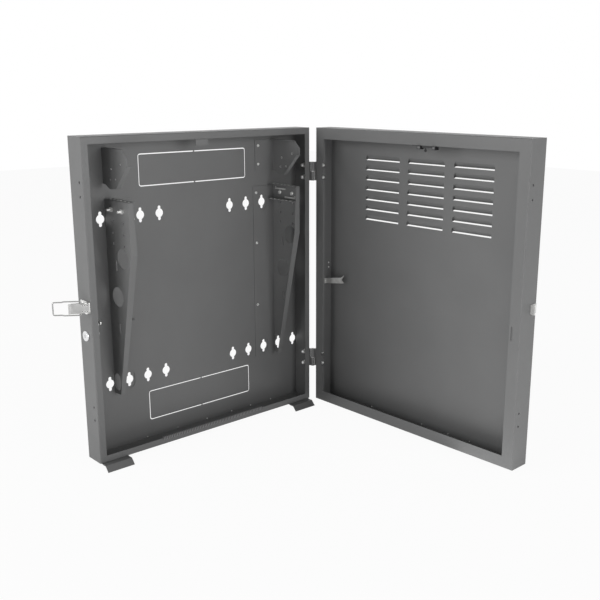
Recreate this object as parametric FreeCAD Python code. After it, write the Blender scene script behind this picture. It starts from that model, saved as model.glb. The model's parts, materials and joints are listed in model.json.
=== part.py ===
"""Hinged wall mount network cabinet: rear tray, swing-out front tray and 2U vertical rack rails.

Frame: origin on the rear (wall) face at the middle of the rear tray, X right, Z up, front towards -Y.
Every moving piece is modelled in the resting pose: front tray swung open, draw latch released,
lock cam turned away from the front tray.
"""
import math
import os

import FreeCAD
import Part

V = FreeCAD.Vector
X_AXIS = V(1, 0, 0)
Y_AXIS = V(0, 1, 0)
Z_AXIS = V(0, 0, 1)

# ---- driving dimensions, millimetres -------------------------------------------------------
width = 638.0
height = 733.0
body_depth = 57.0
door_depth = 57.0
closed_gap = 5.0
sheet = 1.5
bend = 2.4
body_flange = 16.0
door_flange = 28.0

stud_unit = 50.8
keyhole_rows = (181.8, -203.7)
keyhole_units = (2, 3, 4, 5, 6)
stud_pairs = (4, 6)
keyhole_slot_width = 7.8
keyhole_head_radius = 10.5
keyhole_length = 34.5

knockout_half_width = 152.4
knockout_bottom = 246.0
knockout_top = 320.5
knockout_slit = 2.4
knockout_corner = 6.0
knockout_tab = 3.0

hinge_offset = 8.7
hinge_heights = (255.5, -249.0)
hinge_length = 48.0
hinge_leaf = 2.0
knuckle_radius = 4.6
hinge_pin_radius = 3.0
hinge_screw_radius = 3.0
hinge_screw_pitch = 31.0
hinge_screw_depth = 42.0
open_angle = 91.25

bracket_face = 242.0
bracket_flange = 16.5
bracket_flange_ends = 11.0
rear_flange_reach = 175.0
rail_top = 227.0
rail_height = 39.0
rail_flange = 18.0
rail_hole_x = 232.55
rail_hole_radius = 2.6
rack_unit = 44.45
rail_first_hole = 15.5

lock_depth = 30.5
lock_height = -68.0
lock_open_angle = 65.0

latch_height = 1.0
latch_pivot = (-327.0, -52.0)
latch_throw = 11.0
latch_handle = 37.0
latch_open_angle = 55.0
bail_length = 59.5
bail_half_width = 15.5
bail_neck = 1.2
bail_wire_radius = 1.5

louver_width = 114.0
louver_pitch = 138.0
louver_rows = 7
louver_first = 289.0
louver_step = 25.07
louver_height = 13.0
louver_lip = 2.4
louver_projection = 8.0

edging_half_width = 152.4
edging_wall = 1.6

half_width = width / 2
half_height = height / 2
door_plane = body_depth + closed_gap
hinge_x = half_width + hinge_offset
hinge_y = -(body_depth + closed_gap / 2)


# ---- plain solids --------------------------------------------------------------------------
def block(x0, x1, y0, y1, z0, z1):
    """Box between two corners given in any order."""
    low = V(min(x0, x1), min(y0, y1), min(z0, z1))
    return Part.makeBox(abs(x1 - x0), abs(y1 - y0), abs(z1 - z0), low)


def rod(start, axis, radius, length):
    return Part.makeCylinder(radius, length, V(*start), axis)


def ring(start, axis, outer, inner, length):
    return rod(start, axis, outer, length).cut(rod(start, axis, inner, length))


def prism(points, direction):
    """Straight extrusion of a closed outline of 3-D points."""
    corners = [V(*point) for point in points]
    return Part.Face(Part.makePolygon(corners + corners[:1])).extrude(V(*direction))


def plate_yz(points, x0, x1):
    """Sheet whose outline is drawn in Y and Z, between two X faces."""
    return prism([(x0, y, z) for y, z in points], (x1 - x0, 0, 0))


def plate_xy(points, z0, z1):
    """Solid whose outline is drawn in X and Y, between two heights."""
    return prism([(x, y, z0) for x, y in points], (0, 0, z1 - z0))


def regular(radius, sides):
    """Corners of a regular outline about Z, with a flat towards each axis."""
    step = 2 * math.pi / sides
    return [V(radius * math.cos((i + 0.5) * step), radius * math.sin((i + 0.5) * step), 0)
            for i in range(sides)]


def peg(start, axis, radius, length, sides=8):
    """Flat-sided pin for small hardware and for the punched hole that it fills."""
    outline = regular(radius, sides)
    body = Part.Face(Part.makePolygon(outline + outline[:1])).extrude(V(0, 0, length))
    body.Placement = FreeCAD.Placement(V(*start), FreeCAD.Rotation(Z_AXIS, axis))
    return body


def skin(rings):
    """Solid between closed outlines with equal corner counts, one flat face per side."""
    faces = [Part.Face(Part.makePolygon(rings[0] + rings[0][:1])),
             Part.Face(Part.makePolygon(rings[-1] + rings[-1][:1]))]
    for near, far in zip(rings, rings[1:]):
        for i in range(len(near)):
            j = (i + 1) % len(near)
            faces.append(Part.Face(Part.makePolygon([near[i], near[j], far[j], far[i], near[i]])))
    solid = Part.Solid(Part.makeShell(faces))
    if solid.Volume < 0:
        solid.reverse()
    return solid


def taper(start, axis, radius, end_radius, length, sides=8):
    """Flat-sided frustum that narrows or widens along the axis."""
    body = skin([regular(radius, sides),
                 [corner + V(0, 0, length) for corner in regular(end_radius, sides)]])
    body.Placement = FreeCAD.Placement(V(*start), FreeCAD.Rotation(Z_AXIS, axis))
    return body


def soft_rectangle(u0, u1, v0, v1, radius, steps=3):
    """Outline of a rectangle whose corners turn in a few short straight steps."""
    points = []
    for u, v, start in ((u1 - radius, v1 - radius, 0), (u0 + radius, v1 - radius, 90),
                        (u0 + radius, v0 + radius, 180), (u1 - radius, v0 + radius, 270)):
        for i in range(steps + 1):
            turn = math.radians(start + 90 * i / steps)
            points.append((u + radius * math.cos(turn), v + radius * math.sin(turn)))
    return points


def bent_wire(path, across, radius, sides=8):
    """Wire along a flat path, mitred at every bend; across is the normal of the path's plane."""
    rings = []
    for i, point in enumerate(path):
        before = (point - path[max(i - 1, 0)])
        after = (path[min(i + 1, len(path) - 1)] - point)
        before = before if before.Length else after
        after = after if after.Length else before
        before, after = before.normalize(), after.normalize()
        along = (before + after).normalize()
        outward = along.cross(across) / along.dot(before)
        rings.append([point + across * corner.x + outward * corner.y
                      for corner in regular(radius, sides)])
    return skin(rings)


def slot_y(x, z, y0, y1, half_x, half_z, steps=1):
    """Slot with softened ends, cut along Y."""
    radius = min(half_x, half_z) * (0.6 if steps == 1 else 0.99)
    outline = soft_rectangle(x - half_x, x + half_x, z - half_z, z + half_z, radius, steps)
    return prism([(u, y0, v) for u, v in outline], (0, y1 - y0, 0))


def slot_x(y, z, x0, x1, half_y, half_z, steps=1):
    """Slot with softened ends, cut along X."""
    radius = min(half_y, half_z) * (0.6 if steps == 1 else 0.99)
    outline = soft_rectangle(y - half_y, y + half_y, z - half_z, z + half_z, radius, steps)
    return plate_yz(outline, x0, x1)


def join(shapes):
    result = shapes[0]
    if len(shapes) > 1:
        result = result.multiFuse(shapes[1:])
    return result.removeSplitter()


def mirror_x(shape):
    return shape.mirror(V(0, 0, 0), X_AXIS)


def pan_screw(start, axis, shank, length, head, head_height):
    """Pan head screw: the head sits behind the start point, the shank runs along the axis."""
    back = V(*start) - axis * head_height
    head_solid = taper((back.x, back.y, back.z), axis, head * 0.72, head, head_height)
    return head_solid.fuse(peg(start, axis, shank, length)).removeSplitter()


def hex_nut(start, axis, bore, across, thickness, dome=0.0):
    """Hexagon nut, or a cap nut when a dome height is given."""
    corner = across / math.sqrt(3)
    nut = peg(start, axis, corner, thickness, 6)
    if dome:
        end = V(*start) + axis * thickness
        nut = nut.fuse(taper((end.x, end.y, end.z), axis, corner * 0.85, corner * 0.35, dome, 6))
    return nut.cut(peg(start, axis, bore, thickness + dome * 0.3))


# ---- front tray placement ------------------------------------------------------------------
def opened(shape):
    """Swing a piece drawn on the closed front tray to the resting, open pose."""
    shape.rotate(V(hinge_x, hinge_y, 0), Z_AXIS, open_angle)
    return shape


def dx(a):
    """X of a point a millimetres from the hinge-side wall of the closed front tray."""
    return half_width - a


def dy(b):
    """Y of a point b millimetres out from the rim of the closed front tray."""
    return -door_plane - b


def door_block(a0, a1, b0, b1, z0, z1):
    return block(dx(a0), dx(a1), dy(b0), dy(b1), z0, z1)


# ---- trays ---------------------------------------------------------------------------------
def folded(box, radius, y_back, y_rim):
    """Round the bends round the back and the rim; the corner seams between walls stay sharp."""
    edges = []
    for edge in box.Edges:
        y = edge.valueAt((edge.FirstParameter + edge.LastParameter) / 2).y
        if min(abs(y - y_back), abs(y - y_rim)) < 0.01:
            edges.append(edge)
    return box.makeFillet(radius, edges)


def tray(y_back, y_rim, flange):
    """Folded sheet box, open at the rim, with a return flange all round the opening."""
    inward = 1 if y_rim < y_back else -1
    outer = block(-half_width, half_width, y_back, y_rim, -half_height, half_height)
    outer = folded(outer, bend, y_back, y_rim)
    inner = block(-half_width + sheet, half_width - sheet, y_back - inward * sheet,
                  y_rim + inward * sheet, -half_height + sheet, half_height - sheet)
    mouth = block(-half_width + flange, half_width - flange, y_rim - inward, y_rim + 3 * inward,
                  -half_height + flange, half_height - flange)
    return outer.cut(inner).cut(mouth)


def keyhole(x, z):
    """Double-ended keyhole: a round middle that passes the screw head, slots above and below."""
    slot = slot_y(x, z, -sheet - 1, 1, keyhole_slot_width / 2, keyhole_length / 2)
    if round(abs(x) / stud_unit) in stud_pairs:
        middle = rod((x, -sheet - 1, z), Y_AXIS, keyhole_head_radius, sheet + 2)
    else:
        middle = peg((x, -sheet - 1, z), Y_AXIS, keyhole_head_radius, sheet + 2, 16)
    return slot.fuse(middle)


def knockout(sign):
    """Slit that frames a knockout panel, broken by one small tab above and one below."""
    middle = sign * (knockout_bottom + knockout_top) / 2
    tall = (knockout_top - knockout_bottom) / 2
    shapes = []
    for grow in (0.0, knockout_slit):
        outline = soft_rectangle(grow - knockout_half_width, knockout_half_width - grow,
                                 middle - tall + grow, middle + tall - grow,
                                 knockout_corner - grow)
        shapes.append(prism([(x, -sheet - 1, z) for x, z in outline], (0, sheet + 2, 0)))
    tabs = block(-knockout_tab / 2, knockout_tab / 2, -sheet - 2, 2, middle - tall - 1,
                 middle + tall + 1)
    return shapes[0].cut(shapes[1]).cut(tabs)


def hinge_screw_points():
    """Heights of the two screws of each hinge leaf."""
    points = []
    for middle in hinge_heights:
        points += [middle + hinge_screw_pitch / 2, middle - hinge_screw_pitch / 2]
    return points


def wall_hole(side, y, z, radius, sides=8):
    """Punched hole through one side wall of the rear tray."""
    return peg((side * half_width - 4 * side, y, z), X_AXIS * side, radius, 8, sides)


def make_rear_tray():
    shell = tray(0, -body_depth, body_flange)
    cuts = [keyhole(sign * unit * stud_unit, z) for sign in (-1, 1) for unit in keyhole_units
            for z in keyhole_rows]
    cuts += [knockout(1), knockout(-1)]
    for side in (-1, 1):
        for z in hinge_screw_points():
            cuts.append(wall_hole(side, -hinge_screw_depth, z, hinge_screw_radius))
    cuts.append(wall_hole(-1, -lock_depth, lock_height, lock_barrel_radius, 16))
    return shell.cut(Part.makeCompound(cuts))


# ---- rack brackets and rails ---------------------------------------------------------------
rail_screw_columns = (-33.0, -80.0)
rail_screw_rows = (206.0, 181.0, 155.0, 130.0)
rail_screw_radius = 2.9
cable_holes = ((-70.0, 100.6), (-40.0, 9.4))
cable_hole_radius = 23.0
rail_bracket_outline = ((-sheet, 226), (-105, 226), (-105, 111), (-28, -226), (-sheet, -228))
support_outline = ((-sheet, 338), (-88, 338), (-107, 320), (-107, 303), (-57, 252), (-30, 250),
                   (-10, 260), (-sheet, 260))


def edge_flange(start, end, outer_x, reach):
    """Flange bent inward along one straight edge of a bracket plate."""
    length = math.hypot(end[0] - start[0], end[1] - start[1])
    along = ((end[0] - start[0]) / length, (end[1] - start[1]) / length)
    inside = (-along[1] * sheet, along[0] * sheet)
    corners = (start, end, (end[0] + inside[0], end[1] + inside[1]),
               (start[0] + inside[0], start[1] + inside[1]))
    return plate_yz(corners, outer_x - reach, outer_x)


def make_rail_bracket():
    """Long bracket for the right-hand side; the left one is its mirror image."""
    inner = bracket_face - sheet
    plate = plate_yz(rail_bracket_outline, inner, bracket_face)
    front = edge_flange((-105, 226), (-105, 111), bracket_face, bracket_flange)
    slope = edge_flange((-105, 111), (-28, -226), bracket_face, bracket_flange)
    widest = bracket_face - bracket_flange
    narrowing = prism([(widest, -20, 111), (bracket_face - bracket_flange_ends, -20, 226),
                       (widest - 1, -20, 226), (widest - 1, -20, -226),
                       (bracket_face - bracket_flange_ends, -20, -226)], (0, -90, 0))
    rear = block(rear_flange_reach, bracket_face, -2 * sheet, -sheet, -228, 222)
    shell = join([plate, front.cut(narrowing), slope.cut(narrowing), rear])
    cuts = []
    for y in rail_screw_columns:
        for z in rail_screw_rows:
            cuts.append(peg((inner - 1, y, z), X_AXIS, rail_screw_radius, sheet + 2))
    for y, z in cable_holes:
        cuts.append(peg((inner - 1, y, z), X_AXIS, cable_hole_radius, sheet + 2, 24))
    cuts.append(slot_x(-41, 81, inner - 1, bracket_face + 1, 2.5, 12))
    cuts.append(slot_x(-41, -65, inner - 1, bracket_face + 1, 2.5, 13))
    cuts.append(slot_x(-16.2, -198, inner - 1, bracket_face + 1, 12.2, 21, 3))
    for z in keyhole_rows:
        cuts.append(slot_y(4 * stud_unit, z, -2 * sheet - 1, 0, 14, 22, 3))
    return shell.cut(Part.makeCompound(cuts))


def make_support_bracket():
    """Short upper bracket for the right-hand side, with a top flange and a sloping lower flange."""
    inner = bracket_face - sheet
    plate = plate_yz(support_outline, inner, bracket_face)
    top = block(bracket_face - bracket_flange_ends, bracket_face, -88, -sheet, 338 - sheet, 338)
    lower = edge_flange((-107, 303), (-57, 252), bracket_face, bracket_flange_ends)
    rear = block(183, bracket_face, -2 * sheet, -sheet, 262, 338)
    shell = join([plate, top, lower, rear])
    cuts = [peg((inner - 1, y, z), X_AXIS, 2.6, sheet + 2)
            for y, z in ((-39, 293.8), (-78.7, 305.6), (-34.8, 270.7), (-56, 272.9))]
    return shell.cut(Part.makeCompound(cuts))


def rack_hole_depths():
    """Y of the mounting holes: the 15.875, 15.875, 12.7 mm rack pattern over two units."""
    steps = (0.0, 15.875, 31.75)
    return [-rail_first_hole - unit * rack_unit - step for unit in (0, 1) for step in steps]


def make_rack_rail():
    """Channel rail bolted inside the right-hand bracket; its top flange carries the equipment."""
    web_x = bracket_face - sheet
    low = rail_top - rail_height
    web = block(web_x - sheet, web_x, -103, -4, low, rail_top)
    top = block(web_x - rail_flange, web_x, -103, -4, rail_top - sheet, rail_top)
    bottom = block(web_x - rail_flange, web_x, -103, -4, low, low + sheet)
    shell = join([web, top, bottom])
    depths = rack_hole_depths()
    cuts = [rod((rail_hole_x, y, rail_top - sheet - 1), Z_AXIS, rail_hole_radius, sheet + 2)
            for y in (depths[0], depths[-1])]
    cuts += [peg((rail_hole_x, y, rail_top - sheet - 1), Z_AXIS, rail_hole_radius, sheet + 2, 12)
             for y in depths[1:-1]]
    cuts.append(slot_x(-34.8, 215, web_x - sheet - 1, web_x + 0.5, 21, 2))
    cuts.append(slot_x(-73, 195, web_x - sheet - 1, web_x + 0.5, 20, 2))
    for y in rail_screw_columns:
        cuts.append(peg((web_x - sheet - 1, y, rail_screw_rows[0]), X_AXIS, rail_screw_radius,
                        sheet + 2))
    return shell.cut(Part.makeCompound(cuts))


def make_rail_screws():
    start_x = bracket_face - 2 * sheet
    length = 2 * sheet + 13
    return [pan_screw((start_x, y, rail_screw_rows[0]), X_AXIS, rail_screw_radius, length, 5.5, 3.2)
            for y in rail_screw_columns]


def make_rail_nuts():
    return [hex_nut((bracket_face, y, rail_screw_rows[0]), X_AXIS, rail_screw_radius, 10, 5)
            for y in rail_screw_columns]


# ---- hinges --------------------------------------------------------------------------------
def hinge_leaf_outline(side):
    """Leaf section for one side of the hinge; side is +1 towards the wall, -1 towards the front."""
    flat = half_width
    face = half_width + hinge_leaf
    tangent = hinge_x - knuckle_radius
    points = [(flat, 29.5), (face, 29.5), (face, 11.5), (tangent + hinge_leaf, 6.0),
              (tangent + hinge_leaf, 0), (tangent, 0), (tangent, 4.9), (flat, 10.7)]
    return [(x, hinge_y + side * offset) for x, offset in points]


def make_hinge_leaf(middle, side, bore):
    """One leaf with its knuckle: the rear tray's below the joint line, the front tray's above."""
    washer_half = 0.5
    half = hinge_length / 2
    low, high = middle - half, middle + half
    if side > 0:
        z0, z1 = low, middle - washer_half
        other0, other1 = middle - washer_half, high + 1
        hole_start, depth = z0, z1 - z0
    else:
        z0, z1 = middle + washer_half, high
        other0, other1 = low - 1, middle + washer_half
        hole_start, depth = z0, z1 - z0 - 2.5
    flat = block(half_width, half_width + hinge_leaf, hinge_y + side * 10.7,
                 hinge_y + side * 29.5, low, high)
    arm = plate_xy(hinge_leaf_outline(side), low, high)
    relief = peg((hinge_x, hinge_y, other0), Z_AXIS, knuckle_radius + 0.6, other1 - other0, 16)
    knuckle = peg((hinge_x, hinge_y, z0), Z_AXIS, knuckle_radius, z1 - z0, 16)
    leaf = join([flat, arm.cut(relief), knuckle])
    cuts = [rod((hinge_x, hinge_y, hole_start), Z_AXIS, bore, depth)]
    screw_y = hinge_y + side * (body_depth + closed_gap / 2 - hinge_screw_depth)
    for offset in (-hinge_screw_pitch / 2, hinge_screw_pitch / 2):
        cuts.append(peg((half_width - 1, screw_y, middle + offset), X_AXIS, hinge_screw_radius,
                        hinge_leaf + 2))
    return leaf.cut(Part.makeCompound(cuts))


def door_hinge_screw_y():
    return 2 * hinge_y + hinge_screw_depth


def make_hinge_pins():
    return [rod((hinge_x, hinge_y, middle - hinge_length / 2), Z_AXIS, hinge_pin_radius,
                hinge_length - 4.5) for middle in hinge_heights]


def make_hinge_washers():
    washers = []
    for middle in hinge_heights:
        base = (hinge_x, hinge_y, middle - 0.5)
        washer = peg(base, Z_AXIS, knuckle_radius + 0.5, 0.9, 12)
        washers.append(washer.cut(peg(base, Z_AXIS, hinge_pin_radius + 0.2, 0.9, 12)))
    return washers


def make_hinge_screws(y):
    length = hinge_leaf + sheet + 5
    return [pan_screw((half_width + hinge_leaf, y, z), X_AXIS * -1, hinge_screw_radius, length,
                      5.0, 2.8) for z in hinge_screw_points()]


def make_hinge_nuts(y):
    return [hex_nut((half_width - sheet, y, z), X_AXIS * -1, hinge_screw_radius, 11, 5, dome=9)
            for z in hinge_screw_points()]


# ---- draw latch ----------------------------------------------------------------------------
latch_pin_radius = 1.75
latch_ear_half = 12.0
latch_ear_sheet = 1.5


def turned_about_pivot(shape, pivot, angle):
    shape.rotate(V(pivot[0], pivot[1], 0), Z_AXIS, angle)
    return shape


def make_latch_base():
    """Base plate with two ears that carry the lever pivot."""
    outline = soft_rectangle(-54.5, -14.5, latch_height - latch_ear_half,
                             latch_height + latch_ear_half, 3)
    plate = plate_yz(outline, -half_width - 2, -half_width)
    parts = [plate]
    px, py = latch_pivot
    for sign in (-1, 1):
        outer = latch_height + sign * latch_ear_half
        inner = outer - sign * latch_ear_sheet
        ear = plate_xy([(-half_width, py - 2.5), (px, py - 4.5), (px - 4, py), (px, py + 4.5),
                        (-half_width, py + 8)], min(outer, inner), max(outer, inner))
        parts.append(ear)
    return join(parts).cut(peg((px, py, latch_height - 20), Z_AXIS, latch_pin_radius, 40, 12))


def make_latch_pin():
    px, py = latch_pivot
    pin = peg((px, py, latch_height - latch_ear_half), Z_AXIS, latch_pin_radius,
              2 * latch_ear_half, 12)
    heads = [peg((px, py, latch_height + sign * latch_ear_half - (0.8 if sign < 0 else 0)), Z_AXIS,
                 2.6, 0.8, 12) for sign in (-1, 1)]
    return join([pin] + heads)


def make_latch_lever():
    """Channel lever drawn closed along +Y from its pivot, then swung out to the open pose."""
    px, py = latch_pivot
    root_half = latch_ear_half - latch_ear_sheet - 0.35
    grip_half = 11.3
    thickness = 1.3
    web = [(px - 3.6, py - 5), (px - 3.6, py + 10), (px - 4.6, py + latch_handle - 6),
           (px - 7.5, py + latch_handle)]
    back = [(x + thickness, y) for x, y in reversed(web)]
    narrow = plate_xy(web[:2] + back[2:], latch_height - root_half, latch_height + root_half)
    wide = plate_xy(web[1:] + back[:3], latch_height - grip_half, latch_height + grip_half)
    sides = []
    for sign in (-1, 1):
        for half, outline in ((root_half, [(px - 3.6, py - 5), (px + 2.6, py - 4), (px + 3.2, py + 3),
                                           (px + 3.2, py + latch_throw + 3),
                                           (px - 3.9, py + latch_throw + 5)]),
                              (grip_half, [(px - 3.6, py + 10), (px + 3.2, py + 10),
                                           (px + 3.2, py + latch_throw + 3),
                                           (px - 1.5, py + latch_handle - 5),
                                           (px - 4.6, py + latch_handle - 6)])):
            outer = latch_height + sign * half
            inner = outer - sign * thickness
            sides.append(plate_xy(outline, min(outer, inner), max(outer, inner)))
    bridge = block(px - 3.6, px - 2.3, py + 9.5, py + 10.5, latch_height - grip_half,
                   latch_height + grip_half)
    lever = join([narrow, wide, bridge] + sides)
    bore = (latch_pin_radius + 0.06) / math.cos(math.pi / 12)
    bail_bore = (bail_wire_radius + 0.06) / math.cos(math.pi / 12)
    cuts = [peg((px, py, latch_height - 20), Z_AXIS, bore, 40, 12),
            peg((px, py + latch_throw, latch_height - 20), Z_AXIS, bail_bore, 40, 12)]
    return turned_about_pivot(lever.cut(Part.makeCompound(cuts)), latch_pivot, latch_open_angle)


def make_latch_bail():
    """Wire loop: two arms from the lever to a cross bar, their ends turned into the lever."""
    px, py = latch_pivot
    qy = py + latch_throw
    bar_y = qy + bail_length
    knee = qy + bail_length * 0.62
    near = bail_half_width
    far = bail_half_width - bail_neck
    half = [(qy, 8.6), (qy, near - 4), (qy + 1.2, near - 1.2), (qy + 4, near), (knee, near),
            (knee + 3, far), (bar_y - 4, far), (bar_y - 1.2, far - 1.2), (bar_y, far - 4)]
    path = [(y, latch_height - reach) for y, reach in half]
    path += [(y, latch_height + reach) for y, reach in reversed(half)]
    bail = bent_wire([V(px, y, z) for y, z in path], X_AXIS, bail_wire_radius)
    return turned_about_pivot(bail, latch_pivot, latch_open_angle)


def make_keeper():
    """Hook plate on the latch-side wall of the front tray; the bail bar sits behind its lip."""
    wall = half_width
    low = latch_height - 10.8
    high = latch_height + 10.8
    lip_b = bail_length - latch_throw - latch_pivot[1] - door_plane - 3.6
    plate = block(-wall - 1.5, -wall, dy(lip_b), dy(lip_b + 20), low, high)
    lip = plate_xy([(-wall, dy(lip_b)), (-wall - 10.5, dy(lip_b)), (-wall - 11.5, dy(lip_b + 1.5)),
                    (-wall - 3, dy(lip_b + 1.5)), (-wall - 1.5, dy(lip_b + 2.8)),
                    (-wall, dy(lip_b + 2.8))], low, high)
    return join([plate, lip])


# ---- cam lock ------------------------------------------------------------------------------
lock_barrel_radius = 9.5
lock_plug_radius = 6.0
lock_square = 4.6
lock_barrel_end = -300.0





def make_lock_barrel():
    wall = -half_width
    collar = taper((wall - 4.8, -lock_depth, lock_height), X_AXIS, 10.4, 12, 1.8, 16)
    collar = collar.fuse(peg((wall - 3, -lock_depth, lock_height), X_AXIS, 12, 3, 16))
    thread = peg((wall, -lock_depth, lock_height), X_AXIS, lock_barrel_radius,
                 lock_barrel_end - wall, 16)
    bore = rod((wall - 6, -lock_depth, lock_height), X_AXIS, lock_plug_radius + 0.06, 40)
    return collar.fuse(thread).cut(bore)


def make_lock_nut():
    nut = peg((-half_width + sheet, -lock_depth, lock_height), X_AXIS, 14, 4, 6)
    return nut.cut(peg((-half_width, -lock_depth, lock_height), X_AXIS, lock_barrel_radius, 8, 16))


def make_lock_plug():
    wall = -half_width
    plug = rod((wall - 4.6, -lock_depth, lock_height), X_AXIS, lock_plug_radius,
               lock_barrel_end + 0.5 - wall + 4.6)
    square = peg((lock_barrel_end, -lock_depth, lock_height), X_AXIS, lock_square, 2.5, 4)
    keyway = block(wall - 6, wall + 8, -lock_depth - 0.9, -lock_depth + 0.9, lock_height - 3.6,
                   lock_height + 3.6)
    thread = peg((-299.5, -lock_depth, lock_height), X_AXIS, 1.6, 3)
    return plug.fuse(square).cut(keyway.fuse(thread))


def make_lock_cam():
    """Claw cam on the plug's square, turned up to the open angle."""
    x0, x1 = -299.5, -297.5
    outline = [(8, -5), (9, 0), (8, 5), (-40, 5), (-42, 3), (-42, -11.5), (-40.5, -13),
               (-36.5, -13), (-35, -11.5), (-35, -5)]
    arm = plate_yz([(y - lock_depth, z + lock_height) for y, z in outline], x0, x1)
    arm.rotate(V(0, -lock_depth, lock_height), X_AXIS, -lock_open_angle)
    return arm.cut(peg((x0 - 1, -lock_depth, lock_height), X_AXIS, lock_square, 4, 4))


def make_lock_screw():
    return pan_screw((-297.5, -lock_depth, lock_height), X_AXIS * -1, 1.6, 1.8, 5.5, 7.5)


# ---- feet, edging and catch strike ---------------------------------------------------------
def make_foot():
    """Bent plate under the right-hand corner, drooping clear of the front tray."""
    z = -half_height
    outline = [(-10, z), (-55, z), (-60, z - 0.9), (-71, z - 0.9), (-82.5, z - 13.5),
               (-81, z - 14.8), (-70.1, z - 2.9), (-59, z - 2.9), (-55, z - 2), (-10, z - 2)]
    return plate_yz(outline, 247, 314.5)


def make_flange_edging():
    """Plastic channel clipped over the free edge of the rear tray's lower flange."""
    edge = -half_height + body_flange
    strip = block(-edging_half_width, edging_half_width, -body_depth - edging_wall,
                  -body_depth + sheet + edging_wall, edge - 4.5, edge + 3)
    return strip.cut(block(-edging_half_width - 1, edging_half_width + 1, -body_depth,
                           -body_depth + sheet, edge - 5, edge))


strike_x = (-32.0, 2.0)


def make_catch_strike():
    """Joggled strike plate behind the top flange; its pad meets the catch."""
    front = -body_depth - 1.0
    behind = -body_depth + sheet
    outline = [(front, 336), (front + 1.5, 336), (front + 1.5, 348.3), (behind + 1.5, 348.3),
               (behind + 1.5, 364), (behind, 364), (behind, 349.8), (front, 349.8)]
    return plate_yz(outline, strike_x[0], strike_x[1])


# ---- front tray ----------------------------------------------------------------------------
def louver_origins():
    """Left edge and slit height of every louver, in front tray coordinates."""
    first_column = width / 2 - louver_pitch - louver_width / 2
    for column in range(3):
        for row in range(louver_rows):
            yield first_column + column * louver_pitch, louver_first - row * louver_step


def louver_profile(a, z, outline, width_, radius, top):
    """Prism of a louver section, its upper corners turned in short steps."""
    body = prism([(dx(a), dy(b), z + h) for b, h in outline], (-width_, 0, 0))
    window = soft_rectangle(a, a + width_, z - 3 * top, z + top, radius, 2)
    return body.common(prism([(dx(u), dy(40), v) for u, v in window], (0, -40, 0)))


def louver(a, z):
    """One pressed louver: the hood to add and the recess to cut."""
    skin = 1.2
    outer_face = door_depth + louver_projection
    crown = louver_height + skin
    hood = louver_profile(a, z, [(door_depth - sheet, crown), (door_depth, crown),
                                 (outer_face, louver_lip + 1.2), (outer_face, louver_lip),
                                 (door_depth, 0), (door_depth - sheet, 0)],
                          louver_width, 7.0, crown)
    recess = louver_profile(a + skin, z, [(door_depth - sheet - 3, louver_height),
                                          (door_depth - 0.4, louver_height),
                                          (outer_face - skin, louver_lip + 0.9),
                                          (outer_face - skin, -2), (door_depth, -2),
                                          (door_depth, 0), (door_depth - sheet - 3, 0)],
                            louver_width - 2 * skin, 6.0, louver_height)
    return hood, recess


notch_heights = ((264.4, 278.0), (234.0, 247.0), (-241.0, -228.0), (-268.0, -254.5))


def make_door_shell():
    shell = tray(dy(door_depth), dy(0), door_flange)
    hem = door_block(door_flange - sheet, door_flange, 0, 6, -half_height + door_flange - sheet,
                     half_height - door_flange + sheet)
    hoods, recesses = zip(*[louver(a, z) for a, z in louver_origins()])
    shell = shell.fuse(hem).fuse(Part.makeCompound(list(hoods)))
    cuts = list(recesses)
    cuts += [door_block(22, door_flange + 1, -1, 8, low, high) for low, high in notch_heights]
    slot_a = half_width + 298.0
    cuts.append(door_block(slot_a - 2.5, slot_a + 2.5, -1, sheet + 1, -66.5, -35.5))
    for a_side in (0, width):
        for z in hinge_screw_points():
            cuts.append(peg((dx(a_side) - 4, door_hinge_screw_y(), z), X_AXIS, hinge_screw_radius,
                            8))
    return shell.cut(Part.makeCompound(cuts))


hook_outline = ((1.5, -46.1), (62, -37.5), (70, -35.6), (60.7, -28.2), (69.8, -14.5),
                (58.7, -22.5), (1.5, -32.3))
hook_rib = ((8, -39.8), (54, -32.6), (54, -30.6), (8, -37.8))
hook_b = 36.0


def make_cable_hook():
    """Forked strip standing on the hinge-side wall, stiffened by a rib along its middle."""
    tab = door_block(sheet, 2 * sheet, hook_b - 12, hook_b + sheet, hook_outline[0][1],
                     hook_outline[-1][1])
    strip = prism([(dx(a), dy(hook_b), z) for a, z in hook_outline], (0, -sheet, 0))
    rib = prism([(dx(a), dy(hook_b), z) for a, z in hook_rib], (0, 1.2, 0))
    return join([tab, strip, rib])


catch_a = (320.0, 399.0)
catch_blocks = ((338.0, 348.0), (382.0, 391.0))
catch_stud_a = 358.0
flange_edge = half_height - door_flange


def make_door_catch():
    """Catch housing under the top flange, on a thin mounting tab behind the flange."""
    tab = door_block(catch_a[0], catch_a[1], sheet, sheet + 1.5, flange_edge - 1.2,
                     flange_edge + 13)
    bar = door_block(catch_blocks[0][0], catch_blocks[1][1], sheet, 6, flange_edge - 5,
                     flange_edge)
    blocks = [door_block(a0, a1, -3.5, 10, flange_edge - 8.5, flange_edge - 0.5)
              for a0, a1 in catch_blocks]
    stud = peg((dx(catch_stud_a), dy(4), flange_edge - 9), Z_AXIS, 1.8, 6)
    ball = [taper((dx(catch_stud_a), dy(4), flange_edge - 11.5), Z_AXIS * sign, 3.5, 1.8, 3)
            for sign in (-1, 1)]
    catch = join([tab, bar, stud] + blocks + ball)
    cuts = [door_block(a0 + 1.5, a1 - 1.5, -4, -2, flange_edge - 7, flange_edge - 2)
            for a0, a1 in catch_blocks]
    return catch.cut(Part.makeCompound(cuts))


def make_catch_magnets():
    return [door_block(a0 + 1.5, a1 - 1.5, -3.5, -2, flange_edge - 7, flange_edge - 2)
            for a0, a1 in catch_blocks]


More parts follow.
